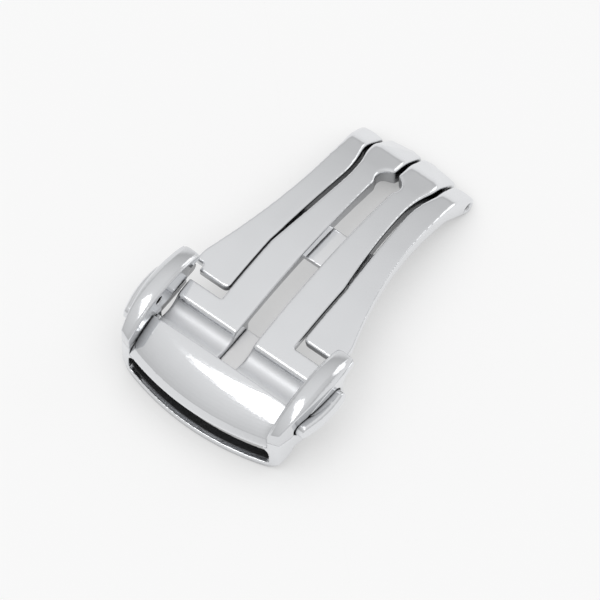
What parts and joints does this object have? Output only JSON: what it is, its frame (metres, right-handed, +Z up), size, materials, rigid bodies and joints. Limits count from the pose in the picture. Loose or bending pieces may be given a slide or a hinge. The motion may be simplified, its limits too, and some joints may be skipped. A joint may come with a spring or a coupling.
{
  "type": "watch strap folding clasp",
  "caption": "Folding clasp for a watch strap with arched split blades, a slotted head with raised side wings and sprung push buttons.",
  "frame": {"origin": "centre of the closed clasp's footprint, on the surface it lies on", "axes": "+X along the clasp towards the hinge that joins the blades, +Y across it towards the left button, +Z up through the outer face"},
  "size_m": [0.0405, 0.0252, 0.0096],
  "materials": {
    "polished_steel": "mirror polished stainless steel",
    "satin_steel": "fine satin stainless steel",
    "plain_steel": "turned stainless steel",
    "spring_steel": "drawn spring wire"
  },
  "bodies": {
    "outer_blade": {"outer_left_arm": "polished_steel", "outer_right_arm": "polished_steel", "blade_bridge": "satin_steel", "blade_hinge_pin": "plain_steel"},
    "inner_blade": {"inner_left_arm": "polished_steel", "inner_right_arm": "polished_steel", "cross_plate": "satin_steel"},
    "head": {"head_frame": "polished_steel", "cover": "polished_steel", "left_wing": "polished_steel", "right_wing": "polished_steel", "left_head_pin": "plain_steel", "right_head_pin": "plain_steel"},
    "left_button": {"left_button_cap": "polished_steel", "left_button_stem": "plain_steel", "left_latch": "plain_steel", "left_button_spring": "spring_steel"},
    "right_button": {"right_button_cap": "polished_steel", "right_button_stem": "plain_steel", "right_latch": "plain_steel", "right_button_spring": "spring_steel"}
  },
  "joints": [
    {"name": "blade_hinge", "type": "hinge", "parent": "outer_blade", "child": "inner_blade", "pos_m": [0.0184, 0, 0.00115], "axis": [0, 1, 0], "range_deg": [0, 165]},
    {"name": "head_hinge", "type": "hinge", "parent": "inner_blade", "child": "head", "pos_m": [-0.01435, 0, 0.00429], "axis": [0, -1, 0], "range_deg": [0, 100]},
    {"name": "left_button_slide", "type": "slide", "parent": "head", "child": "left_button", "axis": [0, -1, 0], "range_m": [0, 0.00045], "stiffness_N_per_m": 1200, "springref_m": -0.0006, "deforming": ["left_button_spring"]},
    {"name": "right_button_slide", "type": "slide", "parent": "head", "child": "right_button", "axis": [0, 1, 0], "range_m": [0, 0.00045], "stiffness_N_per_m": 1200, "springref_m": -0.0006, "deforming": ["right_button_spring"]}
  ]
}
